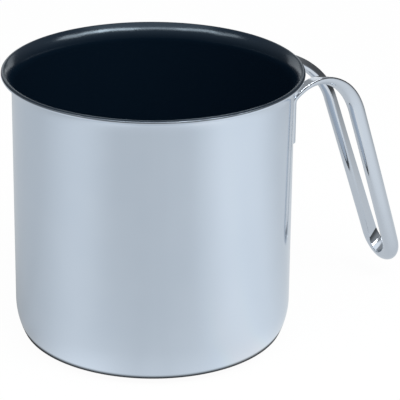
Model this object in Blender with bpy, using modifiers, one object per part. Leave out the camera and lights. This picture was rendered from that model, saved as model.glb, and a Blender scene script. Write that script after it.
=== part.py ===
"""Milk pan with a flared pouring rim, a capsule base and a welded loop handle.

+Z is up, the pan's axis is the Z axis, its underside lies on z = 0 and the handle stands out
along +X. Lengths are in metres, and angles are in degrees where a name says so.
"""

import math

import bmesh
import bpy
from mathutils import Matrix, Vector

# Fits between pieces that touch
GAP = 0.0003

# Drawn steel shell, outside sizes
OVERALL_HEIGHT = 0.1310
BODY_RADIUS = 0.0650
SHEET = 0.0008
FLARE_RADIUS = 0.0097
FLARE_DEGREES = 50.4
ROLL_RADIUS = 0.0011
FOOT_RADIUS = 0.0335
FOOT_DEGREES = 25.0
KNUCKLE_RADIUS = 0.0021

# Dark coating inside the shell
LINING = 0.0004
LINING_DEGREES = 47.0

# Capsule under the floor
CAPSULE_RADIUS = 0.0552
CAPSULE_HEIGHT = 0.0026
CAP_SHEET = 0.0005
CAP_EDGE_RADIUS = 0.0009

# Half-oval bar of the handle
BAR_WIDTH = 0.0078
BAR_DEPTH = 0.0053
TAB_DEPTH = 0.0027
BAR_EDGE = 0.0005

# Run of the bar's centre line, from a tab's lower end to the bottom of the loop. The drop is from
# the rim's top to a tab's upper end, and the height is that of the line's lowest point.
TAB_DROP = 0.0212
TAB_LENGTH = 0.0191
WALL_BEND_RADIUS = 0.0038
WALL_BEND_DEGREES = 48.0
ARCH_RADIUS = 0.0193
ARCH_DEGREES = 112.0
SHOULDER_RADIUS = 0.0340
LEG_DEGREES = 18.5
LOOP_HEIGHT = 0.0112
TAB_SPREAD = 0.0201
ARCH_SPREAD = 0.0119
LOOP_RADIUS = 0.0103

# How far the flat of the bar faces away from the pan, and not across the loop, at seven
# stations: wall bend, crown of the arch, end of the arch, the leg's thirds, its end, and bottom
TWIST_DEGREES = (90.0, 81.5, 55.5, 48.5, 39.0, 27.5, 0.0)

# Weld nuggets between tab and wall, placed along the tab
NUGGET_RADIUS = 0.0018
NUGGET_DEPTH = 0.0012
NUGGET_PLACE_SHARES = (0.27, 0.73)

# Facets
SPIN_STEPS = 60
FLARE_STEPS = 6
ROLL_STEPS = 11
FOOT_STEPS = 5
KNUCKLE_STEPS = 4
CAP_EDGE_STEPS = 4
BAR_CROWN_STEPS = 9
TAB_STEPS = 2
WALL_BEND_STEPS = 4
ARCH_STEPS = 8
SHOULDER_STEPS = 6
LEG_STEPS = 8
LOOP_STEPS = 8
NUGGET_SIDES = 16
SMOOTH_DEGREES = 35.0

# Merge distance of seams and poles
WELD_DISTANCE = 0.00001

FINISHES = {
    "polished_steel": ((0.58, 0.60, 0.63), 0.16, 1.0),
    "nonstick_coating": ((0.012, 0.016, 0.021), 0.38, 0.0),
    "aluminium": ((0.72, 0.73, 0.74), 0.40, 1.0),
    "brushed_steel": ((0.50, 0.51, 0.53), 0.34, 1.0),
    "handle_steel": ((0.60, 0.62, 0.65), 0.14, 1.0),
    "weld_metal": ((0.42, 0.42, 0.43), 0.50, 1.0),
}


def clear_scene():
    """Remove every object that the scene starts with."""
    for old in list(bpy.data.objects):
        bpy.data.objects.remove(old, do_unlink=True)


def new_collection(name):
    """Make a collection under the scene's own."""
    made = bpy.data.collections.new(name)
    bpy.context.scene.collection.children.link(made)
    return made


def finish(name):
    """Return the material of one finish, made on its first use."""
    if name in bpy.data.materials:
        return bpy.data.materials[name]
    colour, roughness, metallic = FINISHES[name]
    made = bpy.data.materials.new(name)
    made.use_nodes = True
    shader = made.node_tree.nodes["Principled BSDF"]
    shader.inputs["Base Color"].default_value = (*colour, 1.0)
    shader.inputs["Roughness"].default_value = roughness
    shader.inputs["Metallic"].default_value = metallic
    made.diffuse_color = (*colour, 1.0)
    return made


def add_object(name, mesh, collection, finish_name=None):
    """Link a mesh as a named object and give it its finish."""
    made = bpy.data.objects.new(name, mesh)
    collection.objects.link(made)
    if finish_name:
        mesh.materials.append(finish(finish_name))
    return made


def shade_round(mesh):
    """Shade a mesh smooth but for its sharp edges."""
    mesh.shade_smooth()
    mesh.set_sharp_from_angle(angle=math.radians(SMOOTH_DEGREES))


def arc(centre, radius, start, end, steps):
    """Points of an arc in the r, z plane; angles run from +r towards +z, in degrees."""
    points = []
    for step in range(steps + 1):
        angle = math.radians(start + (end - start) * step / steps)
        points.append((centre[0] + radius * math.cos(angle), centre[1] + radius * math.sin(angle)))
    return points


def turned(name, outline, collection, finish_name):
    """Turn an outline about Z; it runs up the inner side and down the outer side."""
    mesh = bpy.data.meshes.new(name)
    vertices = [(max(r, 0.0), 0.0, z) for r, z in outline]
    edges = [(i, i + 1) for i in range(len(vertices) - 1)]
    mesh.from_pydata(vertices, edges, [])
    made = add_object(name, mesh, collection, finish_name)
    screw = made.modifiers.new("turn", "SCREW")
    screw.axis = "Z"
    screw.angle = math.tau
    screw.steps = SPIN_STEPS
    screw.render_steps = SPIN_STEPS
    screw.use_merge_vertices = True
    screw.merge_threshold = WELD_DISTANCE
    screw.use_smooth_shade = True
    return made


def flare_centre():
    """Centre of the flare's arc, found from the top of the rolled edge."""
    rise = math.sin(math.radians(FLARE_DEGREES))
    roll_height = (FLARE_RADIUS + SHEET - ROLL_RADIUS) * rise
    return BODY_RADIUS + FLARE_RADIUS, OVERALL_HEIGHT - ROLL_RADIUS - roll_height


def flare_line(depth, from_degrees):
    """Flare at a depth below the outside, from an angle on its arc down to the wall."""
    return arc(flare_centre(), FLARE_RADIUS + depth, 180.0 - from_degrees, 180.0,
               FLARE_STEPS)


def foot_line(depth):
    """Foot at a depth below the outside: large arc, knuckle and the floor's middle."""
    sine = math.sin(math.radians(FOOT_DEGREES))
    cosine = math.cos(math.radians(FOOT_DEGREES))
    knuckle_z = CAPSULE_HEIGHT + KNUCKLE_RADIUS
    foot_z = knuckle_z + (FOOT_RADIUS - KNUCKLE_RADIUS) * sine
    foot_r = BODY_RADIUS - FOOT_RADIUS
    knuckle_r = foot_r + (FOOT_RADIUS - KNUCKLE_RADIUS) * cosine
    line = arc((foot_r, foot_z), FOOT_RADIUS - depth, 0.0, -FOOT_DEGREES, FOOT_STEPS)
    knuckle = arc((knuckle_r, knuckle_z), KNUCKLE_RADIUS - depth, -FOOT_DEGREES, -90.0,
                  KNUCKLE_STEPS)
    line += knuckle[1:]
    line.append((0.0, line[-1][1]))
    return line


def rolled_edge():
    """Outside of the rolled edge, from the flare's top side round to its underside."""
    cosine = math.cos(math.radians(FLARE_DEGREES))
    sine = math.sin(math.radians(FLARE_DEGREES))
    centre_r, centre_z = flare_centre()
    reach = FLARE_RADIUS + SHEET - ROLL_RADIUS
    centre = (centre_r - reach * cosine, centre_z + reach * sine)
    notch = math.degrees(math.acos((ROLL_RADIUS - SHEET) / ROLL_RADIUS))
    start = 180.0 - FLARE_DEGREES
    return arc(centre, ROLL_RADIUS, start, start - 360.0 + notch, ROLL_STEPS)


def build_shell(collection):
    """Drawn shell, one sheet thick all over, with its edge rolled tight."""
    inner = flare_line(SHEET, FLARE_DEGREES) + foot_line(SHEET)
    inner.reverse()
    notch = ROLL_RADIUS * math.sin(math.acos((ROLL_RADIUS - SHEET) / ROLL_RADIUS))
    under = FLARE_DEGREES - math.degrees(notch / FLARE_RADIUS)
    outer = flare_line(0.0, under) + foot_line(0.0)
    outline = inner + rolled_edge()[1:-1] + outer
    return turned("pan_body", outline, collection, "polished_steel")


def build_lining(collection):
    """Coating inside the shell, from just below the rolled edge to the middle of the floor."""
    back = SHEET + GAP
    outer = flare_line(back, LINING_DEGREES) + foot_line(back)
    inner = flare_line(back + LINING, LINING_DEGREES) + foot_line(back + LINING)
    inner.reverse()
    return turned("nonstick_lining", inner + outer, collection, "nonstick_coating")


def build_cap(collection):
    """Steel cap of the capsule, an upturned rim round a flat underside."""
    centre = (CAPSULE_RADIUS - CAP_EDGE_RADIUS, CAP_EDGE_RADIUS)
    top = CAPSULE_HEIGHT - GAP
    outer = [(CAPSULE_RADIUS, top)]
    outer += arc(centre, CAP_EDGE_RADIUS, 0.0, -90.0, CAP_EDGE_STEPS)
    outer.append((0.0, 0.0))
    inner_radius = CAPSULE_RADIUS - CAP_SHEET
    inner = [(inner_radius, top)]
    inner += arc(centre, CAP_EDGE_RADIUS - CAP_SHEET, 0.0, -90.0, CAP_EDGE_STEPS)
    inner.append((0.0, CAP_SHEET))
    inner.reverse()
    return turned("base_cap", inner + outer, collection, "brushed_steel")


def build_core(collection):
    """Aluminium disc that spreads the heat, sealed between the cap and the floor."""
    radius = CAPSULE_RADIUS - CAP_SHEET - GAP
    bottom = CAP_SHEET + GAP
    top = CAPSULE_HEIGHT - GAP
    chamfer = CAP_EDGE_RADIUS - CAP_SHEET
    outline = [(0.0, top), (radius - chamfer, top), (radius, top - chamfer)]
    outline += [(radius, bottom + chamfer), (radius - chamfer, bottom), (0.0, bottom)]
    return turned("base_core", outline, collection, "aluminium")


def tab_bottom():
    """Height of a tab's lower end."""
    return OVERALL_HEIGHT - TAB_DROP - TAB_LENGTH


def leg_line():
    """One leg's centre line upright in its own plane, as (run, x, z, heading).

    The heading is the angle from straight up towards the outside. The line starts at the
    tab's lower end and ends where the loop's bend begins.
    """
    tab_middle = BODY_RADIUS + GAP + TAB_DEPTH / 2
    run, heading = 0.0, 0.0
    x, z = math.sqrt(tab_middle ** 2 - TAB_SPREAD ** 2), tab_bottom()
    points = [(run, x, z, heading)]

    def straight(length, steps):
        nonlocal run, x, z
        for _ in range(steps):
            run += length / steps
            x += math.sin(heading) * length / steps
            z += math.cos(heading) * length / steps
            points.append((run, x, z, heading))

    def bend(radius, to_degrees, steps):
        nonlocal run, x, z, heading
        turn = (math.radians(to_degrees) - heading) / steps
        for _ in range(steps):
            after = heading + turn
            x += radius * (math.cos(heading) - math.cos(after))
            z += radius * (math.sin(after) - math.sin(heading))
            run += radius * turn
            heading = after
            points.append((run, x, z, heading))

    straight(TAB_LENGTH, TAB_STEPS)
    bend(WALL_BEND_RADIUS, WALL_BEND_DEGREES, WALL_BEND_STEPS)
    bend(ARCH_RADIUS, ARCH_DEGREES, ARCH_STEPS)
    bend(SHOULDER_RADIUS, 180.0 - LEG_DEGREES, SHOULDER_STEPS)
    straight((z - LOOP_HEIGHT) / math.cos(math.radians(LEG_DEGREES)) - LOOP_RADIUS, LEG_STEPS)
    return points


def ease(value):
    """Smooth step from 0 to 1."""
    value = min(max(value, 0.0), 1.0)
    return value * value * (3.0 - 2.0 * value)


def smooth_between(stations, values, at):
    """Value of a smooth curve through the stations' values."""
    last = len(stations) - 1
    slopes = []
    for i in range(last + 1):
        low, high = max(i - 1, 0), min(i + 1, last)
        slopes.append((values[high] - values[low]) / (stations[high] - stations[low]))
    for i in range(last):
        if at <= stations[i + 1] or i == last - 1:
            length = stations[i + 1] - stations[i]
            t = min(max((at - stations[i]) / length, 0.0), 1.0)
            start = (1.0 + 2.0 * t) * (1.0 - t) ** 2 * values[i]
            end = t * t * (3.0 - 2.0 * t) * values[i + 1]
            lean_out = t * (1.0 - t) ** 2 * length * slopes[i]
            lean_in = t * t * (t - 1.0) * length * slopes[i + 1]
            return start + end + lean_out + lean_in
    return values[last]


def bar_stations():
    """Stations of half the bar: centre, direction across the loop, direction away, run."""
    upright = leg_line()
    bend_end = TAB_LENGTH + WALL_BEND_RADIUS * math.radians(WALL_BEND_DEGREES)
    arch_angle = math.radians(180.0 - LEG_DEGREES - ARCH_DEGREES)
    arch_run = ARCH_RADIUS * math.radians(ARCH_DEGREES - WALL_BEND_DEGREES)
    arch_end = bend_end + arch_run + SHOULDER_RADIUS * arch_angle
    leg_end = upright[-1][0]
    leg_length = leg_end - arch_end
    arch_middle = (bend_end + arch_end) / 2
    wall_turn = math.asin(TAB_SPREAD / (BODY_RADIUS + GAP + TAB_DEPTH / 2))
    stations = []
    for run, x, z, heading in upright:
        drawn_in = ease((run - TAB_LENGTH) / (arch_end - TAB_LENGTH))
        spread = TAB_SPREAD + (ARCH_SPREAD - TAB_SPREAD) * drawn_in
        if run > arch_end:
            spread += (LOOP_RADIUS - ARCH_SPREAD) * (run - arch_end) / leg_length
        away = Vector((-math.cos(heading), 0.0, math.sin(heading)))
        turn = wall_turn * (1.0 - ease((run - TAB_LENGTH) / (arch_middle - TAB_LENGTH)))
        swing = Matrix.Rotation(-turn, 3, "Z")
        stations.append((Vector((x, -spread, z)), swing @ Vector((0.0, 1.0, 0.0)), swing @ away, run))
    last_run, last_x, last_z, last_heading = upright[-1]
    centre = Vector((last_x, 0.0, last_z))
    along = Vector((math.sin(last_heading), 0.0, math.cos(last_heading)))
    away = Vector((-math.cos(last_heading), 0.0, math.sin(last_heading)))
    for step in range(1, LOOP_STEPS + 1):
        angle = math.pi / 2 * step / LOOP_STEPS
        inward = Vector((0.0, math.cos(angle), 0.0)) - along * math.sin(angle)
        run = last_run + LOOP_RADIUS * angle
        stations.append((centre - inward * LOOP_RADIUS, inward, away, run))
    loop_end = leg_end + LOOP_RADIUS * math.pi / 2
    thirds = [arch_end + leg_length * third / 3 for third in (1, 2)]
    twist_runs = [bend_end, arch_middle, arch_end, *thirds, leg_end, loop_end]
    depth_runs = [bend_end, arch_middle, arch_end]
    return stations, twist_runs, depth_runs


def bar_section(depth):
    """Half-oval section as (across, down from the flat), flat side first."""
    half = BAR_WIDTH / 2
    points = [(half, 0.0)]
    for step in range(BAR_CROWN_STEPS + 1):
        angle = math.pi * step / BAR_CROWN_STEPS
        points.append((half * math.cos(angle), BAR_EDGE + (depth - BAR_EDGE) * math.sin(angle)))
    points.append((-half, 0.0))
    return points


def bar_rings():
    """Section points of every station of half the bar, from the tab's end to the loop's bottom."""
    stations, twist_runs, depth_runs = bar_stations()
    depths = [TAB_DEPTH, (TAB_DEPTH + BAR_DEPTH) / 2, BAR_DEPTH]
    rings = []
    for index, (centre, inward, away, run) in enumerate(stations):
        before = stations[max(index - 1, 0)][0]
        after = stations[min(index + 1, len(stations) - 1)][0]
        tangent = (after - before).normalized()
        if index == len(stations) - 1:
            tangent = Vector((0.0, 1.0, 0.0))
        if run <= TAB_LENGTH:
            tangent = Vector((0.0, 0.0, 1.0))
        twist = math.radians(smooth_between(twist_runs, TWIST_DEGREES, max(run, twist_runs[0])))
        depth = smooth_between(depth_runs, depths, min(max(run, depth_runs[0]), depth_runs[-1]))
        facing = inward * math.cos(twist) + away * math.sin(twist)
        facing = (facing - tangent * facing.dot(tangent)).normalized()
        across = facing.cross(tangent)
        ring = []
        for side, down in bar_section(depth):
            ring.append(centre + across * side + facing * (depth / 2 - down))
        rings.append(ring)
    for point in rings[-1]:
        point.y = 0.0
    return rings


def loft(name, rings):
    """Skin between rings of equal count, closed at the first ring and open at the last."""
    shape = bmesh.new()
    lofted = [[shape.verts.new(point) for point in ring] for ring in rings]
    count = len(lofted[0])
    for low, high in zip(lofted, lofted[1:]):
        for i in range(count):
            j = (i + 1) % count
            shape.faces.new((low[i], low[j], high[j], high[i]))
    shape.faces.new(list(reversed(lofted[0])))
    bmesh.ops.recalc_face_normals(shape, faces=shape.faces)
    mesh = bpy.data.meshes.new(name)
    shape.to_mesh(mesh)
    shape.free()
    return mesh


def nugget_places(distance):
    """Placing of each disc that lies against the wall, at a distance from the pan's axis."""
    turn = math.asin(TAB_SPREAD / (BODY_RADIUS + GAP + TAB_DEPTH / 2))
    lay_down = Matrix.Rotation(math.pi / 2, 4, "Y")
    places = []
    for side in (-1, 1):
        for share in NUGGET_PLACE_SHARES:
            out = Matrix.Translation((distance, 0.0, tab_bottom() + TAB_LENGTH * share))
            places.append(Matrix.Rotation(side * turn, 4, "Z") @ out @ lay_down)
    return places


def discs(name, radius, depth, places):
    """Mesh with one round disc at each place."""
    shape = bmesh.new()
    for place in places:
        bmesh.ops.create_cone(shape, cap_ends=True, segments=NUGGET_SIDES, radius1=radius,
                              radius2=radius, depth=depth, matrix=place)
    mesh = bpy.data.meshes.new(name)
    shape.to_mesh(mesh)
    shape.free()
    return mesh


def build_handle(collection, cutters):
    """Loop handle: half the bar as a loft, mirrored, with pockets for the weld nuggets."""
    mesh = loft("handle_loop", bar_rings())
    made = add_object("handle_loop", mesh, collection, "handle_steel")
    mirror = made.modifiers.new("other_leg", "MIRROR")
    mirror.use_axis = (False, True, False)
    mirror.use_clip = True
    mirror.merge_threshold = WELD_DISTANCE
    depth = GAP + NUGGET_DEPTH
    places = nugget_places(BODY_RADIUS + depth / 2)
    pockets = add_object("weld_pockets", discs("pockets", NUGGET_RADIUS + GAP, depth, places), cutters)
    pockets.hide_render = True
    pockets.display_type = "WIRE"
    cut = made.modifiers.new("pockets", "BOOLEAN")
    cut.operation = "DIFFERENCE"
    cut.solver = "EXACT"
    cut.object = pockets
    shade_round(mesh)
    return made


def build_nuggets(collection):
    """Weld nuggets, seated in the tabs' pockets just clear of the wall."""
    thickness = NUGGET_DEPTH - GAP
    mesh = discs("weld_nugget", NUGGET_RADIUS, thickness, [Matrix.Identity(4)])
    mesh.materials.append(finish("weld_metal"))
    shade_round(mesh)
    for number, place in enumerate(nugget_places(BODY_RADIUS + GAP + thickness / 2), start=1):
        made = add_object(f"weld_nugget_{number}", mesh, collection)
        made.matrix_world = place


def main():
    """Build the pan."""
    clear_scene()
    parts = new_collection("milk_pan")
    cutters = new_collection("cutters")
    build_shell(parts)
    build_lining(parts)
    build_cap(parts)
    build_core(parts)
    build_handle(parts, cutters)
    build_nuggets(parts)


main()
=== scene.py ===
"""Milk pan: fine pieces, finishes, floor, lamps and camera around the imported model.

+Z is up along the pan's axis and +X runs from the axis to the handle. Lengths are in metres and
angles in degrees, unless a docstring says otherwise. The photograph was taken from the front, whose
azimuth from +X is FRONT.
"""

import logging
import math
from dataclasses import dataclass, field
from enum import Enum

import bpy
from mathutils import Matrix, Vector


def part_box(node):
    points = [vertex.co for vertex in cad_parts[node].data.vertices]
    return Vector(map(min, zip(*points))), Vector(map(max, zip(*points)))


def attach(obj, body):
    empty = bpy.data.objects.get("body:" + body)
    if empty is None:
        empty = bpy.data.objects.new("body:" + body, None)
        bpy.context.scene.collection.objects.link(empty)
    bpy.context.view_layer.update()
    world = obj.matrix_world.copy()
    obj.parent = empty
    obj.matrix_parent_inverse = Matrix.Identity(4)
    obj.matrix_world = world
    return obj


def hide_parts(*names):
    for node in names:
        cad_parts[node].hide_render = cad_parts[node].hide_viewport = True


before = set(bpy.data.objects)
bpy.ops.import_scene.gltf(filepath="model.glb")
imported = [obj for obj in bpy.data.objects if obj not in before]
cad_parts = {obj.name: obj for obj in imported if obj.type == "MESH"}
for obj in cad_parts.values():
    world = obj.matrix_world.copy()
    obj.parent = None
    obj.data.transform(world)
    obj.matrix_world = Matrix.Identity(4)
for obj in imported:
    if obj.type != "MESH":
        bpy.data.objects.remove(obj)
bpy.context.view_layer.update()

BODY = "root"
LOG = logging.getLogger("milk_pan")

Point = tuple[float, float]
Triple = tuple[float, float, float]
Four = tuple[float, float, float, float]
Levels = tuple[Point, ...]

FRONT = -118.4
COOL = (0.955, 1.0, 1.035)
WHITE = (1.0, 1.0, 1.0)
AIM = Vector((0.0, 0.0, 0.07))
EVEN = (1.0, 1.0, 1.0)
NOISE_ROUGHNESS = 0.55
SEED_SIZE = 0.001
SAME_PLACE = 0.000002


class Slot(Enum):
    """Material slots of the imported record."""

    POLISHED_STEEL = "polished_steel"
    COATING = "nonstick_coating"
    BRUSHED_STEEL = "brushed_steel"
    HANDLE_STEEL = "handle_steel"


class Ray(Enum):
    """Kinds of ray that the stage tells apart."""

    CAMERA = "Is Camera Ray"
    GLOSSY = "Is Glossy Ray"
    CLEAR = "Is Transmission Ray"


# Shader maths


class Signal:
    """A shader socket that adds Math nodes when it is used in an expression."""

    def __init__(self, net: "Net", socket: bpy.types.NodeSocket) -> None:
        """Wrap a socket of a net."""
        self.net = net
        self.socket = socket

    def _math(self, operation: str, first: object, second: object = None) -> "Signal":
        """Return a Math node's result for one or two signals or numbers."""
        values = {0: first} if second is None else {0: first, 1: second}
        return self.net.node("ShaderNodeMath", {"operation": operation}, values)

    def __add__(self, other: object) -> "Signal":
        """Add."""
        return self._math("ADD", self, other)

    def __radd__(self, other: object) -> "Signal":
        """Add, from the right."""
        return self._math("ADD", other, self)

    def __sub__(self, other: object) -> "Signal":
        """Subtract."""
        return self._math("SUBTRACT", self, other)

    def __rsub__(self, other: object) -> "Signal":
        """Subtract, from the right."""
        return self._math("SUBTRACT", other, self)

    def __mul__(self, other: object) -> "Signal":
        """Multiply."""
        return self._math("MULTIPLY", self, other)

    def __rmul__(self, other: object) -> "Signal":
        """Multiply, from the right."""
        return self._math("MULTIPLY", other, self)

    def __truediv__(self, other: object) -> "Signal":
        """Divide."""
        return self._math("DIVIDE", self, other)

    def __rtruediv__(self, other: object) -> "Signal":
        """Divide, from the right."""
        return self._math("DIVIDE", other, self)

    def sine(self) -> "Signal":
        """Return the sine."""
        return self._math("SINE", self)

    def root(self) -> "Signal":
        """Return the square root."""
        return self._math("SQRT", self)

    def high(self, other: object) -> "Signal":
        """Return the larger of two."""
        return self._math("MAXIMUM", self, other)

    def low(self, other: object) -> "Signal":
        """Return the smaller of two."""
        return self._math("MINIMUM", self, other)

    def ramp(self, low: float, high: float) -> "Signal":
        """Return a smooth rise from 0 at low to 1 at high."""
        settings = {"interpolation_type": "SMOOTHSTEP"}
        return self.net.node("ShaderNodeMapRange", settings, {0: self, 1: low, 2: high})


class Net:
    """Node tree of one material or world, built by expressions."""

    def __init__(self, tree: bpy.types.NodeTree) -> None:
        """Clear a tree and keep it."""
        self.tree = tree
        tree.nodes.clear()

    def node(self, kind: str, settings: dict, values: dict, output: int | str = 0) -> Signal | None:
        """Add one node.

        Args:
            kind: Type of the node.
            settings: Its properties, set first. Those named stops and ease are a colour ramp's.
            values: Numbers, colours or signals of its sockets, by name or place.
            output: Name or place of the result.

        Returns:
            The chosen result as a signal, or None for a node without results.
        """
        made = self.tree.nodes.new(kind)
        for name, value in settings.items():
            if name == "stops":
                self._set_stops(made.color_ramp, value)
            elif name == "ease":
                made.color_ramp.interpolation = value
            else:
                setattr(made, name, value)
        for name, value in values.items():
            if isinstance(value, Signal):
                self.tree.links.new(value.socket, made.inputs[name])
            else:
                made.inputs[name].default_value = value
        return Signal(self, made.outputs[output]) if len(made.outputs) else None

    @staticmethod
    def _set_stops(ramp: bpy.types.ColorRamp, stops: list[tuple[float, Triple]]) -> None:
        """Give a colour ramp its stops.

        Args:
            ramp: The ramp, as new.
            stops: Pairs of place and colour.
        """
        while len(ramp.elements) < len(stops):
            ramp.elements.new(1.0)
        for element, (place, colour) in zip(ramp.elements, stops):
            element.position = place
            element.color = opaque(colour)

    def place(self) -> Signal:
        """Return the Object coordinates."""
        return self.node("ShaderNodeTexCoord", {}, {}, "Object")

    def parts(self, vector: Signal) -> tuple[Signal, Signal, Signal]:
        """Return the x, y and z of a vector."""
        return tuple(self.node("ShaderNodeSeparateXYZ", {}, {0: vector}, axis) for axis in "XYZ")

    def ray(self, kind: Ray) -> Signal:
        """Return 1 for rays of a kind, else 0."""
        return self.node("ShaderNodeLightPath", {}, {}, kind.value)

    def noise(self, vector: Signal, scale: float, detail: float, stretch: Triple = EVEN) -> Signal:
        """Noise in stretched coordinates.

        Args:
            vector: Coordinates.
            scale: Cells per metre.
            detail: Number of finer layers.
            stretch: Factor of each axis.

        Returns:
            Noise from 0 to 1.
        """
        mapped = self.node("ShaderNodeMapping", {}, {"Vector": vector, "Scale": stretch})
        values = {"Vector": mapped, "Scale": scale, "Detail": detail, "Roughness": NOISE_ROUGHNESS}
        return self.node("ShaderNodeTexNoise", {}, values)

    def blend(self, factor: object, first: object, second: object) -> Signal:
        """Return a mix of two colours, where factor is the share of the second one."""
        values = {0: factor, 6: opaque(first), 7: opaque(second)}
        return self.node("ShaderNodeMix", {"data_type": "RGBA"}, values, 2)

    def bump(self, height: Signal, depth: float) -> Signal:
        """Return the normal of a surface whose height runs from 0 to depth."""
        return self.node("ShaderNodeBump", {}, {"Height": height, "Distance": depth, "Strength": 1.0})

    def finish(self, shader: Signal) -> None:
        """Lead a shader to a material's output."""
        self.node("ShaderNodeOutputMaterial", {}, {"Surface": shader})


def opaque(colour: object) -> object:
    """Give a plain colour its alpha, and leave a signal alone."""
    return colour if isinstance(colour, Signal) else (*colour, 1.0)


def new_material(name: str) -> tuple[bpy.types.Material, Net]:
    """Make an empty node material.

    Args:
        name: Its name.

    Returns:
        The material and its net.
    """
    made = bpy.data.materials.new(name)
    made.use_nodes = True
    return made, Net(made.node_tree)


# Finishes


@dataclass(frozen=True, kw_only=True)
class Finish:
    """What every finish has. Each kind adds its own shader."""

    name: str
    colour: Triple
    roughness: float

    def shader(self, net: Net, vector: Signal) -> Signal:
        """Add the finish's shader to a net, at the given coordinates."""
        raise NotImplementedError

    def material(self) -> bpy.types.Material:
        """Build the material.

        Returns:
            The new material.
        """
        made, net = new_material(self.name)
        net.finish(self.shader(net, net.place()))
        return made


@dataclass(frozen=True, kw_only=True)
class SteelFinish(Finish):
    """Stainless steel with soft clouds and a fine grain.

    A stretched height makes the grain run round the pan's axis, as turning and polishing leave it.
    """

    shade: Triple
    roughness_spread: float
    grain_scale: float
    grain_depth: float
    grain_stretch: Triple = EVEN
    grain_detail: float = 3.0
    cloud_scale: float = 26.0
    cloud_detail: float = 2.0
    cloud_range: Point = (0.3, 0.7)

    def shader(self, net: Net, vector: Signal) -> Signal:
        """Add the finish's shader to a net.

        Args:
            net: The net.
            vector: Coordinates of the surface.

        Returns:
            The shader.
        """
        cloud = net.noise(vector, self.cloud_scale, self.cloud_detail)
        grain = net.noise(vector, self.grain_scale, self.grain_detail, self.grain_stretch)
        tint = net.blend(cloud.ramp(*self.cloud_range), self.colour, self.shade)
        rough = self.roughness + (grain - 0.5) * self.roughness_spread
        normal = net.bump(grain, self.grain_depth)
        values = {"Base Color": tint, "Roughness": rough, "Metallic": 1.0, "Normal": normal}
        return net.node("ShaderNodeBsdfPrincipled", {}, values)


@dataclass(frozen=True, kw_only=True)
class CoatingFinish(Finish):
    """Blue-black non-stick coating, sprayed on: satin, with a faint pebble and fine flecks."""

    fleck: Triple
    gloss: Triple
    refraction: float
    roughness_spread: float
    pebble_scale: float
    pebble_depth: float
    pebble_detail: float = 2.0
    fleck_fineness: float = 2.3
    fleck_detail: float = 1.0
    fleck_range: Point = (0.62, 0.75)

    def shader(self, net: Net, vector: Signal) -> Signal:
        """Add the coating's shader to a net.

        Args:
            net: The net.
            vector: Coordinates of the surface.

        Returns:
            The shader.
        """
        pebble = net.noise(vector, self.pebble_scale, self.pebble_detail)
        speck = net.noise(vector, self.pebble_scale * self.fleck_fineness, self.fleck_detail)
        tint = net.blend(speck.ramp(*self.fleck_range), self.colour, self.fleck)
        rough = self.roughness + (pebble - 0.5) * self.roughness_spread
        normal = net.bump(pebble, self.pebble_depth)
        values = {"Base Color": tint, "Roughness": rough, "Normal": normal, "IOR": self.refraction,
                  "Specular Tint": opaque(self.gloss)}
        return net.node("ShaderNodeBsdfPrincipled", {}, values)


@dataclass(frozen=True, kw_only=True)
class LippedSteelFinish(SteelFinish):
    """Polished steel whose topmost edge carries the coating that laps over from inside."""

    coating: CoatingFinish
    lip_height: float
    lip_blur: float

    def shader(self, net: Net, vector: Signal) -> Signal:
        """Add the shaders of steel and coating to a net, and join them at the lip.

        Args:
            net: The net.
            vector: Coordinates of the surface.

        Returns:
            The joined shader.
        """
        steel = super().shader(net, vector)
        coating = self.coating.shader(net, vector)
        _, _, height = net.parts(vector)
        lip = height.ramp(self.lip_height - self.lip_blur, self.lip_height + self.lip_blur)
        return net.node("ShaderNodeMixShader", {}, {0: lip, 1: steel, 2: coating})


@dataclass(frozen=True, kw_only=True)
class RingedMetalFinish(Finish):
    """Satin metal with fine turned rings round the pan's axis, under coarser ones.

    The wander of the rings is in radians of their wave.
    """

    shade: Triple
    ring_pitch: float
    ring_depth: float
    roughness_spread: float = 0.12
    coarse_pitch: float = 7.3
    fine_share: float = 0.7
    wander_scale: float = 90.0
    wander_detail: float = 2.0
    fine_wander: float = 2.0
    coarse_wander: float = 1.2

    def shader(self, net: Net, vector: Signal) -> Signal:
        """Add the metal's shader to a net.

        Args:
            net: The net.
            vector: Coordinates of the surface.

        Returns:
            The shader.
        """
        across, along, _ = net.parts(vector)
        radius = (across * across + along * along).root()
        wander = net.noise(vector, self.wander_scale, self.wander_detail)
        fine_turns = math.tau / self.ring_pitch
        coarse_turns = fine_turns / self.coarse_pitch
        fine = (radius * fine_turns + wander * self.fine_wander).sine() * 0.5 + 0.5
        coarse = (radius * coarse_turns + wander * self.coarse_wander).sine() * 0.5 + 0.5
        mark = fine * self.fine_share + coarse * (1.0 - self.fine_share)
        tint = net.blend(mark, self.shade, self.colour)
        rough = self.roughness + (mark - 0.5) * self.roughness_spread
        normal = net.bump(mark, self.ring_depth)
        values = {"Base Color": tint, "Roughness": rough, "Metallic": 1.0, "Normal": normal}
        return net.node("ShaderNodeBsdfPrincipled", {}, values)


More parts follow.
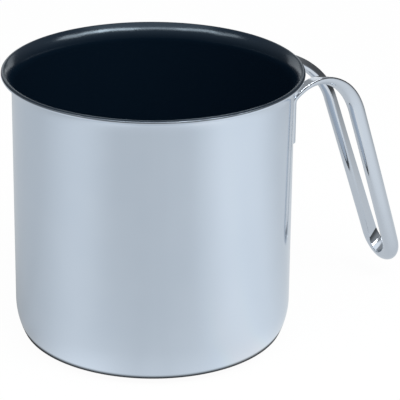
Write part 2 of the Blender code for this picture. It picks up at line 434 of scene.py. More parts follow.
SATIN_COATING = CoatingFinish(
    name="satin_coating", colour=(0.0030, 0.0088, 0.0180), fleck=(0.009, 0.017, 0.028),
    gloss=(0.72, 0.88, 1.0), refraction=1.55, roughness=0.18, roughness_spread=0.05,
    pebble_scale=1500.0, pebble_depth=0.000005)
RINGED_STEEL = RingedMetalFinish(
    name="ringed_steel", colour=(0.56, 0.575, 0.60), shade=(0.44, 0.45, 0.47), roughness=0.30,
    ring_pitch=0.00045, ring_depth=0.000006)
ROLLED_ALUMINIUM = RingedMetalFinish(
    name="rolled_aluminium", colour=(0.74, 0.745, 0.75), shade=(0.66, 0.665, 0.67), roughness=0.38,
    ring_pitch=0.0006, ring_depth=0.000004)
BAR_STEEL = SteelFinish(
    name="bar_steel", colour=(0.630, 0.668, 0.722), shade=(0.612, 0.652, 0.708), roughness=0.08,
    roughness_spread=0.03, grain_scale=420.0, grain_depth=0.0000015)
FUSED_METAL = SteelFinish(
    name="fused_metal", colour=(0.42, 0.42, 0.43), shade=(0.34, 0.34, 0.35), roughness=0.48,
    roughness_spread=0.2, grain_scale=2500.0, grain_depth=0.00001)


# Modelling moves


def clear_choice() -> None:
    """Leave edit mode and deselect every object."""
    if bpy.context.object and bpy.context.object.mode != "OBJECT":
        bpy.ops.object.mode_set(mode="OBJECT")
    bpy.ops.object.select_all(action="DESELECT")


def choose(piece: bpy.types.Object) -> None:
    """Make a piece the active object and the only selected one.

    Args:
        piece: The piece.
    """
    clear_choice()
    piece.select_set(True)
    bpy.context.view_layer.objects.active = piece


def arc(centre: Point, radius: float, start: float, end: float, steps: int) -> list[Point]:
    """Points of an arc in the r, z plane.

    Args:
        centre: Centre of the arc.
        radius: Its radius.
        start: First angle in degrees, from +r towards +z.
        end: Last angle in degrees.
        steps: Number of parts.

    Returns:
        The points, both ends included.
    """
    points = []
    for step in range(steps + 1):
        angle = math.radians(start + (end - start) * step / steps)
        points.append((centre[0] + radius * math.cos(angle), centre[1] + radius * math.sin(angle)))
    return points


def drawn_line(name: str, points: list[Vector]) -> bpy.types.Object:
    """Draw a chain of edges.

    A small plane is merged to one vertex, which is extruded from point to point.

    Args:
        name: Name of the piece that it becomes.
        points: The chain's points.

    Returns:
        The new object, in edit mode.
    """
    clear_choice()
    bpy.ops.mesh.primitive_plane_add(size=SEED_SIZE, location=points[0])
    made = bpy.context.object
    made.name = made.data.name = name
    bpy.ops.object.mode_set(mode="EDIT")
    bpy.ops.mesh.merge(type="CENTER")
    for here, there in zip(points, points[1:]):
        bpy.ops.mesh.extrude_region_move(TRANSFORM_OT_translate={"value": there - here})
    return made


def close_seams() -> None:
    """Merge the doubles of the mesh in edit mode, and leave it selected all over."""
    bpy.ops.mesh.select_all(action="SELECT")
    bpy.ops.mesh.remove_doubles(threshold=SAME_PLACE)
    bpy.ops.mesh.select_all(action="SELECT")


def settle() -> None:
    """Leave edit mode and bring the object to the origin, with its place in its mesh."""
    bpy.ops.object.mode_set(mode="OBJECT")
    bpy.ops.object.transform_apply(location=True, rotation=True, scale=True)


def turned(name: str, outline: list[Point], segments: int) -> bpy.types.Object:
    """Turn an outline about the pan's axis.

    Args:
        name: Name of the piece.
        outline: Points as (radius, height), from the axis and back to it.
        segments: Number of facets round the axis.

    Returns:
        The new object, at the origin.
    """
    made = drawn_line(name, [Vector((radius, 0.0, height)) for radius, height in outline])
    bpy.ops.mesh.select_all(action="SELECT")
    bpy.ops.mesh.spin(steps=segments, angle=math.tau, center=(0.0, 0.0, 0.0), axis=(0.0, 0.0, 1.0))
    close_seams()
    bpy.ops.mesh.normals_make_consistent(inside=False)
    settle()
    return made


def shade_rounded(piece: bpy.types.Object, degrees: float) -> None:
    """Shade a piece smooth but for edges sharper than an angle."""
    choose(piece)
    bpy.ops.object.shade_smooth_by_angle(angle=math.radians(degrees))


def apply_modifiers(piece: bpy.types.Object) -> None:
    """Apply every modifier of a piece, in order.

    Args:
        piece: The piece.
    """
    choose(piece)
    for modifier in list(piece.modifiers):
        bpy.ops.object.modifier_apply(modifier=modifier.name)


def dress(piece: bpy.types.Object, material: bpy.types.Material) -> None:
    """Give a piece one material all over."""
    piece.data.materials.clear()
    piece.data.materials.append(material)


def fit_out(piece: bpy.types.Object, slot: Slot, *nodes: str) -> None:
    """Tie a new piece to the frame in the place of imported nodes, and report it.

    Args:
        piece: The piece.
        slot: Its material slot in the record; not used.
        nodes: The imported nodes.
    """
    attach(piece, BODY)
    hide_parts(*nodes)
    LOG.info("%s: %d faces, for %s", piece.name, len(piece.data.polygons), ", ".join(nodes))


def keep_node(node: str, material: bpy.types.Material) -> None:
    """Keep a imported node's own shape, dress it and report it."""
    dress(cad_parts[node], material)
    LOG.info("%s: kept from the packed model, in %s", node, material.name)


# The vessel


@dataclass
class Vessel:
    """Drawn steel shell with its rolled rim, and the coating inside it.

    The shell's outside is a wall that opens into the flare at the top and closes with the foot's
    wide arc and the floor's knuckle below. Other faces follow it at a depth.
    """

    height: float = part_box("pan_body")[1].z
    body_radius: float = 0.0650
    sheet: float = 0.0008
    flare_radius: float = 0.0097
    flare_degrees: float = 50.4
    roll_radius: float = 0.0011
    foot_radius: float = 0.0335
    foot_degrees: float = 25.0
    knuckle_radius: float = 0.0021
    floor_height: float = 0.0026
    coating: float = 0.00012
    coating_gap: float = 0.00003
    coating_degrees: float = 50.0
    coated_lip: float = 0.00047
    lip_blur: float = 0.00005
    sharp_degrees: float = 40.0
    flare_steps: int = 22
    foot_steps: int = 16
    knuckle_steps: int = 10
    roll_steps: int = 30
    floor_rings: Triple = (0.9, 0.6, 0.3)
    segments: int = 288

    def roll_reach(self) -> float:
        """Return the distance from the flare's centre to the roll's."""
        return self.flare_radius + self.sheet - self.roll_radius

    def flare_centre(self) -> Point:
        """Return the centre of the flare's arc."""
        rise = self.roll_reach() * math.sin(math.radians(self.flare_degrees))
        return self.body_radius + self.flare_radius, self.height - self.roll_radius - rise

    def flare_line(self, depth: float, degrees: float) -> list[Point]:
        """Return the flare at a depth below the outside, from an angle down to the wall."""
        return arc(self.flare_centre(), self.flare_radius + depth, 180.0 - degrees, 180.0, self.flare_steps)

    def foot_line(self, depth: float) -> list[Point]:
        """Trace the wall's foot to the middle of the floor.

        Args:
            depth: Depth below the outside.

        Returns:
            The points from the wall down and inwards.
        """
        turn = math.radians(self.foot_degrees)
        reach = self.foot_radius - self.knuckle_radius
        knuckle_z = self.floor_height + self.knuckle_radius
        foot = (self.body_radius - self.foot_radius, knuckle_z + reach * math.sin(turn))
        knuckle = (foot[0] + reach * math.cos(turn), knuckle_z)
        line = arc(foot, self.foot_radius - depth, 0.0, -self.foot_degrees, self.foot_steps)
        line += arc(knuckle, self.knuckle_radius - depth, -self.foot_degrees, -90.0, self.knuckle_steps)[1:]
        edge, floor_z = line[-1]
        line += [(edge * share, floor_z) for share in (*self.floor_rings, 0.0)]
        return line

    def roll_notch(self) -> float:
        """Return the angle in radians, at the roll's centre, that the sheet's thickness takes up."""
        return math.acos((self.roll_radius - self.sheet) / self.roll_radius)

    def rolled_edge(self) -> list[Point]:
        """Trace the outside of the rolled edge.

        Returns:
            The points from the flare's top side round to its underside.
        """
        inwards = self.roll_reach() * math.cos(math.radians(self.flare_degrees))
        centre = (self.flare_centre()[0] - inwards, self.height - self.roll_radius)
        start = 180.0 - self.flare_degrees
        end = start - 360.0 + math.degrees(self.roll_notch())
        return arc(centre, self.roll_radius, start, end, self.roll_steps)

    def build_shell(self) -> bpy.types.Object:
        """Build the drawn shell.

        Returns:
            The shell.
        """
        inner = self.flare_line(self.sheet, self.flare_degrees) + self.foot_line(self.sheet)
        inner.reverse()
        notch = self.roll_radius * math.sin(self.roll_notch())
        under = self.flare_degrees - math.degrees(notch / self.flare_radius)
        outer = self.flare_line(0.0, under) + self.foot_line(0.0)
        return turned("drawn_shell", inner + self.rolled_edge()[1:-1] + outer, self.segments)

    def build_coating(self) -> bpy.types.Object:
        """Build the coating inside the shell.

        Returns:
            The coating.
        """
        back = self.sheet + self.coating_gap
        outer = self.flare_line(back, self.coating_degrees) + self.foot_line(back)
        front = back + self.coating
        inner = self.flare_line(front, self.coating_degrees) + self.foot_line(front)
        inner.reverse()
        return turned("coating_film", inner + outer, self.segments)

    def shell_finish(self) -> LippedSteelFinish:
        """Set the coating over the top of the roll on the shell's steel.

        Returns:
            The shell's finish.
        """
        return LippedSteelFinish(
            name="drawn_steel", colour=(0.640, 0.700, 0.780), shade=(0.620, 0.682, 0.765),
            roughness=0.10, roughness_spread=0.03, grain_scale=260.0, grain_depth=0.0000015,
            grain_stretch=(1.0, 1.0, 7.0), coating=SATIN_COATING,
            lip_height=self.height - self.coated_lip, lip_blur=self.lip_blur)

    def build(self) -> None:
        """Build and dress the vessel."""
        shell = self.build_shell()
        shade_rounded(shell, self.sharp_degrees)
        dress(shell, self.shell_finish().material())
        fit_out(shell, Slot.POLISHED_STEEL, "pan_body")
        film = self.build_coating()
        shade_rounded(film, self.sharp_degrees)
        dress(film, SATIN_COATING.material())
        fit_out(film, Slot.COATING, "nonstick_lining")


# The base


@dataclass
class CapsuleBase:
    """Steel cap under the floor, with the aluminium disc sealed inside it."""

    radius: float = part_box("base_cap")[1].x
    top: float = 0.0026
    sheet: float = 0.0005
    edge_radius: float = 0.0009
    dish_radius: float = 0.0500
    dish_depth: float = 0.00035
    dish_slope: float = 0.0008
    sharp_degrees: float = 35.0
    outer_steps: int = 10
    inner_steps: int = 6
    segments: int = 256

    def build_cap(self) -> bpy.types.Object:
        """Build the cap with its shallow dish underneath.

        Returns:
            The cap.
        """
        centre = (self.radius - self.edge_radius, self.edge_radius)
        outer = [(self.radius, self.top)]
        outer += arc(centre, self.edge_radius, 0.0, -90.0, self.outer_steps)
        outer += [(self.dish_radius + self.dish_slope, 0.0), (self.dish_radius, self.dish_depth * 0.5)]
        outer += [(self.dish_radius - self.dish_slope, self.dish_depth), (0.0, self.dish_depth)]
        inner = [(self.radius - self.sheet, self.top)]
        inner += arc(centre, self.edge_radius - self.sheet, 0.0, -90.0, self.inner_steps)
        inner += [(0.0, self.sheet + self.dish_depth)]
        inner.reverse()
        return turned("cap_shell", inner + outer, self.segments)

    def build(self) -> None:
        """Build and dress the base."""
        cap = self.build_cap()
        shade_rounded(cap, self.sharp_degrees)
        dress(cap, RINGED_STEEL.material())
        fit_out(cap, Slot.BRUSHED_STEEL, "base_cap")
        keep_node("base_core", ROLLED_ALUMINIUM.material())


# The handle


@dataclass
class LegPath:
    """Centre line of one leg in its own upright plane, drawn stretch by stretch.

    The heading is in radians from straight up, towards +x.
    """

    x: float
    z: float
    run: float = 0.0
    heading: float = 0.0
    points: list[Four] = field(default_factory=list)

    def keep(self) -> None:
        """Add the present run, x, z and heading to the points."""
        self.points.append((self.run, self.x, self.z, self.heading))

    def straight(self, length: float, steps: int) -> None:
        """Go straight on.

        Args:
            length: Length of the stretch.
            steps: Number of its parts.
        """
        for _ in range(steps):
            self.run += length / steps
            self.x += math.sin(self.heading) * length / steps
            self.z += math.cos(self.heading) * length / steps
            self.keep()

    def bend(self, radius: float, degrees: float, steps: int) -> None:
        """Bend round to a heading.

        Args:
            radius: Radius of the bend.
            degrees: The heading at its end.
            steps: Number of its parts.
        """
        turn = (math.radians(degrees) - self.heading) / steps
        for _ in range(steps):
            after = self.heading + turn
            self.x += radius * (math.cos(self.heading) - math.cos(after))
            self.z += radius * (math.sin(after) - math.sin(self.heading))
            self.run += radius * turn
            self.heading = after
            self.keep()


@dataclass
class Place:
    """One place on the bar's centre line, with the directions across it before the twist."""

    middle: Vector
    inward: Vector
    away: Vector
    run: float


@dataclass
class Station:
    """The bar's section at one place: its centre, where its flat side faces, and its depth."""

    centre: Vector
    facing: Vector
    tangent: Vector
    depth: float

    def matrix(self) -> Matrix:
        """Return the section's axes as columns: across, facing and along the bar."""
        across = self.facing.cross(self.tangent)
        return Matrix((across, self.facing, self.tangent)).transposed()


def ease(value: float) -> float:
    """Return a smooth step from 0 to 1."""
    value = min(max(value, 0.0), 1.0)
    return value * value * (3.0 - 2.0 * value)


def smooth_between(places: list[float], values: tuple[float, ...], at: float) -> float:
    """Value of a smooth curve through given values.

    Args:
        places: Places of the values, rising.
        values: Values at those places.
        at: Place asked for.

    Returns:
        The value there.
    """
    last = len(places) - 1
    at = min(max(at, places[0]), places[-1])
    slopes = []
    for index in range(last + 1):
        low, high = max(index - 1, 0), min(index + 1, last)
        slopes.append((values[high] - values[low]) / (places[high] - places[low]))
    index = max(number for number in range(last) if places[number] <= at)
    length = places[index + 1] - places[index]
    share = (at - places[index]) / length
    start = (1.0 + 2.0 * share) * (1.0 - share) ** 2 * values[index]
    end = share * share * (3.0 - 2.0 * share) * values[index + 1]
    leaving = share * (1.0 - share) ** 2 * length * slopes[index]
    arriving = share * share * (share - 1.0) * length * slopes[index + 1]
    return start + end + leaving + arriving


@dataclass
class LoopHandle:
    """Half-oval bar bent to a loop, with both flattened ends on the wall.

    A twist of 90 turns the flat side to the wall on the tab, upwards on the arch and away from the
    pan on the leg, and one of 0 turns it to the other leg. It is given at the tab's top, after the
    wall bend, at the arch's middle and end, at two places down the leg, at the leg's end and at the
    bottom of the loop.
    """

    wall_radius: float = 0.0650
    gap: float = 0.0003
    rim_height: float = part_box("pan_body")[1].z
    bar_width: float = 0.0078
    bar_depth: float = 0.0053
    tab_depth: float = 0.0027
    edge: float = 0.0005
    edge_round: float = 0.00035
    tab_drop: float = 0.0212
    tab_length: float = 0.0191
    wall_bend_radius: float = 0.0038
    wall_bend_degrees: float = 48.0
    arch_radius: float = 0.0193
    arch_degrees: float = 112.0
    shoulder_radius: float = 0.0340
    leg_degrees: float = 18.5
    loop_height: float = 0.0112
    tab_spread: float = 0.0201
    arch_spread: float = 0.0119
    loop_radius: float = 0.0103
    twist_degrees: tuple[float, ...] = (90.0, 83.8, 71.0, 51.0, 46.5, 39.0, 27.5, 0.0)
    section_sides: int = 40
    tab_steps: int = 8
    wall_bend_steps: int = 8
    arch_steps: int = 26
    shoulder_steps: int = 22
    leg_steps: int = 32
    loop_steps: int = 24
    round_steps: int = 3
    round_from_degrees: float = 50.0
    sharp_degrees: float = 60.0
    mirror_reach: float = 0.00001
    nuggets: int = 4

    def tab_middle(self) -> float:
        """Return the radius of the tab's middle from the pan's axis."""
        return self.wall_radius + self.gap + self.tab_depth / 2

    def leg_path(self) -> LegPath:
        """Draw one leg's centre line from the tab's end to where the loop starts.

        Returns:
            The path.
        """
        path = LegPath(x=math.sqrt(self.tab_middle() ** 2 - self.tab_spread ** 2),
                       z=self.rim_height - self.tab_drop - self.tab_length)
        path.keep()
        path.straight(self.tab_length, self.tab_steps)
        path.bend(self.wall_bend_radius, self.wall_bend_degrees, self.wall_bend_steps)
        path.bend(self.arch_radius, self.arch_degrees, self.arch_steps)
        path.bend(self.shoulder_radius, 180.0 - self.leg_degrees, self.shoulder_steps)
        lean = math.radians(self.leg_degrees)
        path.straight((path.z - self.loop_height) / math.cos(lean) - self.loop_radius, self.leg_steps)
        return path

    def marks(self) -> tuple[float, float, float]:
        """Work out where the bar changes its form.

        Returns:
            Runs of the wall bend's end, the arch's middle and the arch's end.
        """
        bend_end = self.tab_length + self.wall_bend_radius * math.radians(self.wall_bend_degrees)
        arch_run = self.arch_radius * math.radians(self.arch_degrees - self.wall_bend_degrees)
        shoulder = math.radians(180.0 - self.leg_degrees - self.arch_degrees)
        arch_end = bend_end + arch_run + self.shoulder_radius * shoulder
        return bend_end, (bend_end + arch_end) / 2, arch_end

    def leg_places(self, path: LegPath) -> list[Place]:
        """Spread one leg's path to its side, and turn the tab to lie on the wall.

        Args:
            path: The leg's path.

        Returns:
            The places from the tab's end to where the loop starts.
        """
        _, arch_middle, arch_end = self.marks()
        leg_end = path.points[-1][0]
        wall_turn = math.asin(self.tab_spread / self.tab_middle())
        places = []
        for run, x, z, heading in path.points:
            drawn_in = ease((run - self.tab_length) / (arch_end - self.tab_length))
            spread = self.tab_spread + (self.arch_spread - self.tab_spread) * drawn_in
            if run > arch_end:
                share = (run - arch_end) / (leg_end - arch_end)
                spread += (self.loop_radius - self.arch_spread) * share
            away = Vector((-math.cos(heading), 0.0, math.sin(heading)))
            turn = wall_turn * (1.0 - ease((run - self.tab_length) / (arch_middle - self.tab_length)))
            swing = Matrix.Rotation(-turn, 3, "Z")
            inward = swing @ Vector((0.0, 1.0, 0.0))
            places.append(Place(Vector((x, -spread, z)), inward, swing @ away, run))
        return places

    def loop_places(self, path: LegPath) -> list[Place]:
        """Go a quarter round the loop, from a leg to the loop's bottom.

        Args:
            path: The leg's path.

        Returns:
            The places.
        """
        leg_end, x, z, heading = path.points[-1]
        centre = Vector((x, 0.0, z))
        along = Vector((math.sin(heading), 0.0, math.cos(heading)))
        away = Vector((-math.cos(heading), 0.0, math.sin(heading)))
        places = []
        for step in range(1, self.loop_steps + 1):
            angle = math.pi / 2 * step / self.loop_steps
            inward = Vector((0.0, math.cos(angle), 0.0)) - along * math.sin(angle)
            run = leg_end + self.loop_radius * angle
            places.append(Place(centre - inward * self.loop_radius, inward, away, run))
        return places

    def tangent(self, places: list[Place], index: int) -> Vector:
        """Find the bar's direction at a place.

        Args:
            places: All places of the half bar.
            index: Number of the place.

        Returns:
            The direction, of length 1.
        """
        if index == len(places) - 1:
            return Vector((0.0, 1.0, 0.0))
        if places[index].run <= self.tab_length:
            return Vector((0.0, 0.0, 1.0))
        return (places[index + 1].middle - places[index - 1].middle).normalized()

    def stations(self) -> list[Station]:
        """Set out the sections along half the bar.

        Returns:
            The stations from a tab's end to the bottom of the loop.
        """
        path = self.leg_path()
        places = self.leg_places(path) + self.loop_places(path)
        bend_end, arch_middle, arch_end = self.marks()
        leg_end = path.points[-1][0]
        loop_end = leg_end + self.loop_radius * math.pi / 2
        thirds = [arch_end + (leg_end - arch_end) * third / 3 for third in (1, 2)]
        twist_runs = [self.tab_length, bend_end, arch_middle, arch_end, *thirds, leg_end, loop_end]
        depth_runs = [bend_end, arch_middle, arch_end]
        depths = (self.tab_depth, (self.tab_depth + self.bar_depth) / 2, self.bar_depth)
        stations = []
        for index, place in enumerate(places):
            tangent = self.tangent(places, index)
            twist = math.radians(smooth_between(twist_runs, self.twist_degrees, place.run))
            facing = place.inward * math.cos(twist) + place.away * math.sin(twist)
            facing = (facing - tangent * facing.dot(tangent)).normalized()
            depth = smooth_between(depth_runs, depths, place.run)
            stations.append(Station(place.middle, facing, tangent, depth))
        return stations

    def section(self, station: Station) -> list[Vector]:
        """Outline of the half-oval section: the crown from edge to edge, then the flat side.

        Args:
            station: Where the section stands.

        Returns:
            The points, the first one again at the end.
        """
        half = self.bar_width / 2
        flat_sides = self.section_sides // 4
        crown_sides = self.section_sides - flat_sides - 2
        middle = station.depth / 2
        points = []
        for number in range(crown_sides + 1):
            angle = math.pi * number / crown_sides
            down = self.edge + (station.depth - self.edge) * math.sin(angle)
            points.append((half * math.cos(angle), middle - down))
        for number in range(flat_sides + 1):
            points.append((-half + 2.0 * half * number / flat_sides, middle))
        points.append(points[0])
        axes = station.matrix()
        return [station.centre + axes @ Vector((across, facing, 0.0)) for across, facing in points]

    def start_section(self, station: Station) -> bpy.types.Object:
        """Draw the section at the tab's end and fill it.

        Args:
            station: The first station.

        Returns:
            The new object, in edit mode with its face selected.
        """
        made = drawn_line("bent_bar", self.section(station))
        close_seams()
        bpy.ops.mesh.edge_face_add()
        settle()
        bpy.ops.object.mode_set(mode="EDIT")
        bpy.ops.mesh.select_all(action="SELECT")
        return made

    def draw_out(self, stations: list[Station]) -> None:
        """Draw the selected section out along the stations by extrusion, turns and pressing.

        Args:
            stations: The stations, from the one where the section is.
        """
        for here, there in zip(stations, stations[1:]):
            step = there.centre - here.centre
            bpy.ops.mesh.extrude_region_move(TRANSFORM_OT_translate={"value": step})
            turn = (there.matrix() @ here.matrix().transposed()).to_euler("XYZ")
            for axis, angle in zip("XYZ", turn):
                bpy.ops.transform.rotate(value=-angle, orient_axis=axis, orient_type="GLOBAL",
                                         center_override=there.centre)
            if there.depth != here.depth:
                bpy.ops.transform.resize(value=(1.0, there.depth / here.depth, 1.0), orient_type="GLOBAL",
                                         orient_matrix=there.matrix(), orient_matrix_type="GLOBAL",
                                         center_override=there.centre)

    def build_bar(self) -> bpy.types.Object:
        """Build the bar: half of it drawn out, mirrored and its edges rounded.

        Returns:
            The bar.
        """
        stations = self.stations()
        made = self.start_section(stations[0])
        self.draw_out(stations)
        bpy.ops.transform.resize(value=(1.0, 0.0, 1.0), orient_type="GLOBAL",
                                 center_override=(0.0, 0.0, 0.0))
        bpy.ops.mesh.delete(type="ONLY_FACE")
        bpy.ops.object.mode_set(mode="OBJECT")
        mirror = made.modifiers.new("other_leg", "MIRROR")
        mirror.use_axis = (False, True, False)
        mirror.use_clip = True
        mirror.merge_threshold = self.mirror_reach
        rounding = made.modifiers.new("edges", "BEVEL")
        rounding.width = self.edge_round
        rounding.segments = self.round_steps
        rounding.limit_method = "ANGLE"
        rounding.angle_limit = math.radians(self.round_from_degrees)
        apply_modifiers(made)
        bpy.ops.object.mode_set(mode="EDIT")
        bpy.ops.mesh.select_all(action="SELECT")
        bpy.ops.mesh.normals_make_consistent(inside=False)
        bpy.ops.object.mode_set(mode="OBJECT")
        return made

    def build(self) -> None:
        """Build and dress the handle and its welds."""
        bar = self.build_bar()
        shade_rounded(bar, self.sharp_degrees)
        dress(bar, BAR_STEEL.material())
        fit_out(bar, Slot.HANDLE_STEEL, "handle_loop")
        weld = FUSED_METAL.material()
        for number in range(1, self.nuggets + 1):
            keep_node(f"weld_nugget_{number}", weld)


# The studio, whose azimuths are measured from the front, but for the lamps' own


def tinted(level: float) -> Triple:
    """Return the cool colour of a level."""
    return tuple(level * part for part in COOL)


def toward(azimuth: float) -> Point:
    """Return the unit vector of an azimuth over the floor."""
    angle = math.radians(FRONT + azimuth)
    return math.cos(angle), math.sin(angle)


@dataclass
class Floor:
    """Plain pale floor, white to the camera, which the metal sees as painted light and shade.

    Its glow goes by azimuth, with one set of levels close to the pan, which paints the light and
    shade that the pan would throw on it, and another set further off. It ends in a painted shadow
    under the pan and in painted dimming far off, for the dim room, which comes nearer behind the pan.

    The levels stand every 20 degrees or so. Each was worked out from the median brightness of the
    photograph's wall and handle where they mirror that direction, and many were then changed.
    """

    size: float = 12.0
    colour: Triple = (0.90, 0.90, 0.90)
    shade: Triple = (0.88, 0.88, 0.88)
    cloud_scale: float = 1.3
    white_share: float = 0.965
    # Levels of the painted light and shade by azimuth, close to the pan and further off.
    near_levels: Levels = ((0, 0.81), (10, 0.815), (30, 0.93), (50, 1.08), (70, 0.93), (90, 0.78),
                           (110, 0.75), (130, 0.76), (150, 0.76), (180, 0.55), (210, 0.30),
                           (230, 0.28), (250, 0.345), (270, 0.453), (290, 0.56), (310, 0.83),
                           (330, 0.95), (350, 0.81), (360, 0.81))
    far_levels: Levels = ((0, 0.69), (10, 0.70), (30, 0.755), (50, 0.94), (70, 0.96), (90, 0.91),
                          (110, 0.767), (130, 0.726), (150, 0.70), (180, 0.68), (210, 0.65),
                          (230, 0.655), (250, 0.668), (270, 0.70), (290, 0.81), (310, 0.824),
                          (330, 0.70), (350, 0.68), (360, 0.685))
    near_radius: float = 0.065
    # Radii of the painted shadow under the pan, and how far it is shifted to the left.
    contact: Point = (0.0625, 0.0646)
    contact_shift: float = 0.0001
    dim: float = 0.08
    dim_reach: Point = (0.36, 1.5)
    dim_turn: float = 165.0
    dim_cosine: float = 0.50
    dim_pull: float = 2.0

    def round_about(self, net: Net, share: Signal, levels: Levels) -> Signal:
        """Return the colour of the floor's glow, where share is the azimuth in whole turns."""
        stops = [(azimuth / 360.0, tinted(level)) for azimuth, level in levels]
        return net.node("ShaderNodeValToRGB", {"stops": stops, "ease": "CARDINAL"}, {0: share})

    def glow(self, net: Net, across: Signal, along: Signal) -> Signal:
        """Colour of the open floor's glow: painted light and shade by azimuth.

        Args:
            net: Net of the floor's material.
            across: The floor's x.
            along: The floor's y.

        Returns:
            The colour.
        """
        turn = net.node("ShaderNodeMath", {"operation": "ARCTAN2"}, {0: along, 1: across})
        share = turn * (1.0 / math.tau) + (1.0 - FRONT / 360.0)
        share = net.node("ShaderNodeMath", {"operation": "FRACT"}, {0: share})
        near = (self.near_radius ** 2 / (across * across + along * along)).low(1.0)
        return net.blend(near, self.round_about(net, share, self.far_levels),
                         self.round_about(net, share, self.near_levels))

    def shading(self, across: Signal, along: Signal) -> Signal:
        """Painted shadow under the pan, a little to its left, and painted dimming far off.

        Args:
            across: The floor's x.
            along: The floor's y.

        Returns:
            Level from 1 in the open down to dim.
        """
        left_x, left_y = toward(-90.0)
        aside = across - left_x * self.contact_shift
        along_side = along - left_y * self.contact_shift
        radius = (aside * aside + along_side * along_side).root()
        shadow = radius.ramp(*self.contact) * (1.0 - self.dim) + self.dim
        back_x, back_y = toward(self.dim_turn)
        distance = (across * across + along * along).root()
        behind = (across * back_x + along * back_y - distance * self.dim_cosine).high(0.0)
        far = (distance + behind * self.dim_pull).ramp(*self.dim_reach) * (self.dim - 1.0) + 1.0
        return shadow * far

    def material(self) -> bpy.types.Material:
        """Build the floor's material.

        Returns:
            The new material.
        """
        made, net = new_material("pale_floor")
        vector = net.place()
        across, along, _ = net.parts(vector)
        cloud = net.noise(vector, self.cloud_scale, 1.0)
        plain = net.node("ShaderNodeBsdfDiffuse", {}, {"Color": net.blend(cloud, self.colour, self.shade)})
        # Painted shadow and dimming times the painted glow: the painted light that glossy rays see.
        level = self.shading(across, along)
        level = net.node("ShaderNodeCombineXYZ", {}, {0: level, 1: level, 2: level})
        painted_light = net.node("ShaderNodeVectorMath", {"operation": "MULTIPLY"},
                       {0: self.glow(net, across, along), 1: level})
        glossy = net.ray(Ray.GLOSSY)
        # This emission gives glossy rays the painted light, and other rays white.
        glow = net.blend(glossy, WHITE, painted_light)
        white = net.node("ShaderNodeEmission", {}, {"Color": glow, "Strength": 1.0})
        seen = net.ray(Ray.CAMERA).high(net.ray(Ray.CLEAR)) * self.white_share
        net.finish(net.node("ShaderNodeMixShader", {}, {0: seen.high(glossy), 1: plain, 2: white}))
        return made

    def build(self) -> None:
        """Lay the floor."""
        clear_choice()
        bpy.ops.mesh.primitive_plane_add(size=self.size, location=(0.0, 0.0, 0.0))
        floor = bpy.context.object
        floor.name = "floor"
        dress(floor, self.material())


@dataclass
class Cards:
    """White cards behind the pan, which only the metal and the coating see.

    A panel is given as left, right, low and high, seen from the front.
    """

    level: float = 0.92
    away: float = 0.34
    panels: tuple[Four, ...] = ((-0.23, 0.155, 0.105, 0.170), (-0.23, -0.07, 0.172, 0.290),
                                (0.08, 0.155, 0.172, 0.290))

    def material(self) -> bpy.types.Material:
        """Build the cards' material.

        Returns:
            The new material.
        """
        made, net = new_material("card_white")
        clear = net.node("ShaderNodeBsdfTransparent", {}, {})
        white = net.node("ShaderNodeEmission", {}, {"Color": opaque(tinted(self.level))})
        net.finish(net.node("ShaderNodeMixShader", {}, {0: net.ray(Ray.GLOSSY), 1: clear, 2: white}))
        return made

    def build(self) -> None:
        """Stand the cards up."""
        material = self.material()
        back_x, back_y = toward(180.0)
        side_x, side_y = toward(90.0)
        turn = (math.pi / 2, 0.0, math.radians(FRONT + 90.0))
        for number, (left, right, low, high) in enumerate(self.panels, 1):
            clear_choice()
            middle = (left + right) / 2
            place = (back_x * self.away + side_x * middle, back_y * self.away + side_y * middle,
                     (low + high) / 2)
            bpy.ops.mesh.primitive_plane_add(size=1.0, location=place, rotation=turn)
            card = bpy.context.object
            card.name = f"white_card_{number}"
            card.scale = (right - left, high - low, 1.0)
            settle()
            dress(card, material)


@dataclass
class Air:
    """Air around the stage: white to the camera, else dim, with lighter parts.

    These are a halo that rises with height, a pale backdrop behind the pan and a bright ceiling.
    """

    dim: float = 0.09
    halo: float = 0.30
    halo_rise: Point = (0.10, 0.58)
    backdrop: float = 0.34
    backdrop_turn: float = -172.0
    backdrop_edge: Point = (0.86, 0.96)
    ceiling: float = 1.1
    ceiling_tilt: float = 80.0
    ceiling_turn: float = 14.0
    ceiling_edge: Point = (0.84, 0.90)
    least_square: float = 0.0001

    def light(self, net: Net) -> Signal:
        """Colour of the air as the pan sees it.

        Args:
            net: Net of the world.

        Returns:
            The colour.
        """
        way = net.node("ShaderNodeTexCoord", {}, {}, "Generated")
        east, north, up = net.parts(way)
        back_x, back_y = toward(self.backdrop_turn)
        level_part = (1.0 - up * up).high(self.least_square).root()
        backward = (east * back_x + north * back_y) / level_part
        tilt = math.radians(self.ceiling_tilt)
        side_x, side_y = (math.cos(tilt) * part for part in toward(self.ceiling_turn))
        overhead = east * side_x + north * side_y + up * math.sin(tilt)
        open_air = net.blend(up.ramp(*self.halo_rise), tinted(self.dim), tinted(self.halo))
        level = net.blend(backward.ramp(*self.backdrop_edge), open_air, tinted(self.backdrop))
        return net.blend(overhead.ramp(*self.ceiling_edge), level, tinted(self.ceiling))

    def build(self) -> None:
        """Light the air."""
        world = bpy.data.worlds.new("air")
        bpy.context.scene.world = world
        world.use_nodes = True
        net = Net(world.node_tree)
        air = net.node("ShaderNodeBackground", {}, {"Color": self.light(net), "Strength": 1.0})
        white = net.node("ShaderNodeBackground", {}, {"Color": opaque(WHITE), "Strength": 1.0})
        mixed = net.node("ShaderNodeMixShader", {}, {0: net.ray(Ray.CAMERA), 1: air, 2: white})
        net.node("ShaderNodeOutputWorld", {}, {"Surface": mixed})


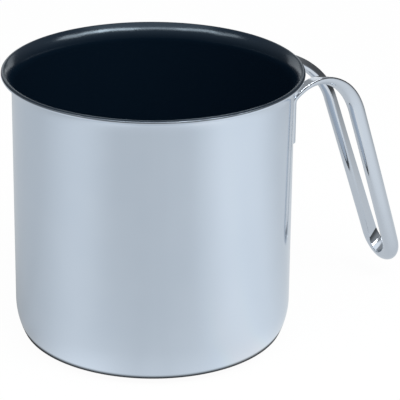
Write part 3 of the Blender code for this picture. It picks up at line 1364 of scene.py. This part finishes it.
@dataclass
class Lamp:
    """A soft lamp aimed at the pan. Its azimuth is measured from +X, the handle's direction."""

    name: str
    azimuth: float
    elevation: float
    width: float
    radiance: float
    height: float = 0.24
    distance: float = 1.3

    def build(self) -> None:
        """Hang the lamp."""
        data = bpy.data.lights.new(self.name, "AREA")
        data.shape = "RECTANGLE"
        data.size = self.width
        data.size_y = self.height
        data.energy = self.radiance * math.pi * self.width * self.height
        made = bpy.data.objects.new(self.name, data)
        bpy.context.scene.collection.objects.link(made)
        rise = math.radians(self.elevation)
        turn = math.radians(self.azimuth)
        away = Vector((math.cos(turn) * math.cos(rise), math.sin(turn) * math.cos(rise), math.sin(rise)))
        made.location = AIM + away * self.distance
        made.rotation_euler = (-away).to_track_quat("-Z", "Y").to_euler()


LAMPS = (
    Lamp("front_strip", azimuth=-124.0, elevation=54.0, width=0.70, radiance=4.8),
    Lamp("left_strip", azimuth=-166.0, elevation=54.0, width=0.58, radiance=7.2),
    Lamp("left_end", azimuth=167.0, elevation=46.0, width=0.50, radiance=3.6),
    Lamp("right_strip", azimuth=-79.5, elevation=52.5, width=0.60, radiance=11.6),
    Lamp("right_middle", azimuth=-57.0, elevation=48.0, width=0.38, radiance=8.4),
    Lamp("right_end", azimuth=-35.0, elevation=43.0, width=0.28, radiance=5.4, height=0.17, distance=0.8),
)


@dataclass
class Studio:
    """Floor, cards, air and lamps."""

    lamps: tuple[Lamp, ...] = LAMPS

    def build(self) -> None:
        """Set up the studio."""
        Floor().build()
        Cards().build()
        Air().build()
        for lamp in self.lamps:
            lamp.build()
        LOG.info("studio: floor, cards, air and %d lamps", len(self.lamps))


@dataclass
class PhotoCamera:
    """Camera at the photograph's place, solved from the rim, the wall and the base.

    Its pitch, yaw and roll are in radians, and its lens and sensor in millimetres.
    """

    distance: float = 0.98197
    height: float = 0.47219
    handle_degrees: float = 28.4
    pitch: float = 0.39236
    yaw: float = 0.02250
    roll: float = 0.01185
    lens: float = 203.75
    sensor: float = 36.0
    nearest: float = 0.05

    def build(self) -> None:
        """Place the camera."""
        data = bpy.data.cameras.new("camera")
        data.sensor_width = self.sensor
        data.lens = self.lens
        data.clip_start = self.nearest
        made = bpy.data.objects.new("camera", data)
        bpy.context.scene.collection.objects.link(made)
        swing = Matrix.Rotation(-math.radians(self.handle_degrees), 3, "Z")
        made.location = swing @ Vector((0.0, -self.distance, self.height))
        forward = Vector((math.sin(self.yaw) * math.cos(self.pitch),
                          math.cos(self.yaw) * math.cos(self.pitch), -math.sin(self.pitch)))
        right = forward.cross(Vector((0.0, 0.0, 1.0))).normalized()
        up = right.cross(forward)
        rolled_right = right * math.cos(self.roll) + up * math.sin(self.roll)
        rolled_up = up * math.cos(self.roll) - right * math.sin(self.roll)
        axes = Matrix((rolled_right, rolled_up, -forward)).transposed()
        made.rotation_euler = (swing @ axes).to_euler()
        bpy.context.scene.camera = made
        LOG.info("camera: lens %.1f mm", self.lens)


# Assembly


def main() -> None:
    """Build the pan and its studio."""
    logging.basicConfig(level=logging.INFO, format="%(name)s: %(message)s")
    bpy.context.scene.view_settings.view_transform = "Standard"
    Vessel().build()
    CapsuleBase().build()
    LoopHandle().build()
    Studio().build()
    PhotoCamera().build()


if __name__ == "__main__":
    main()
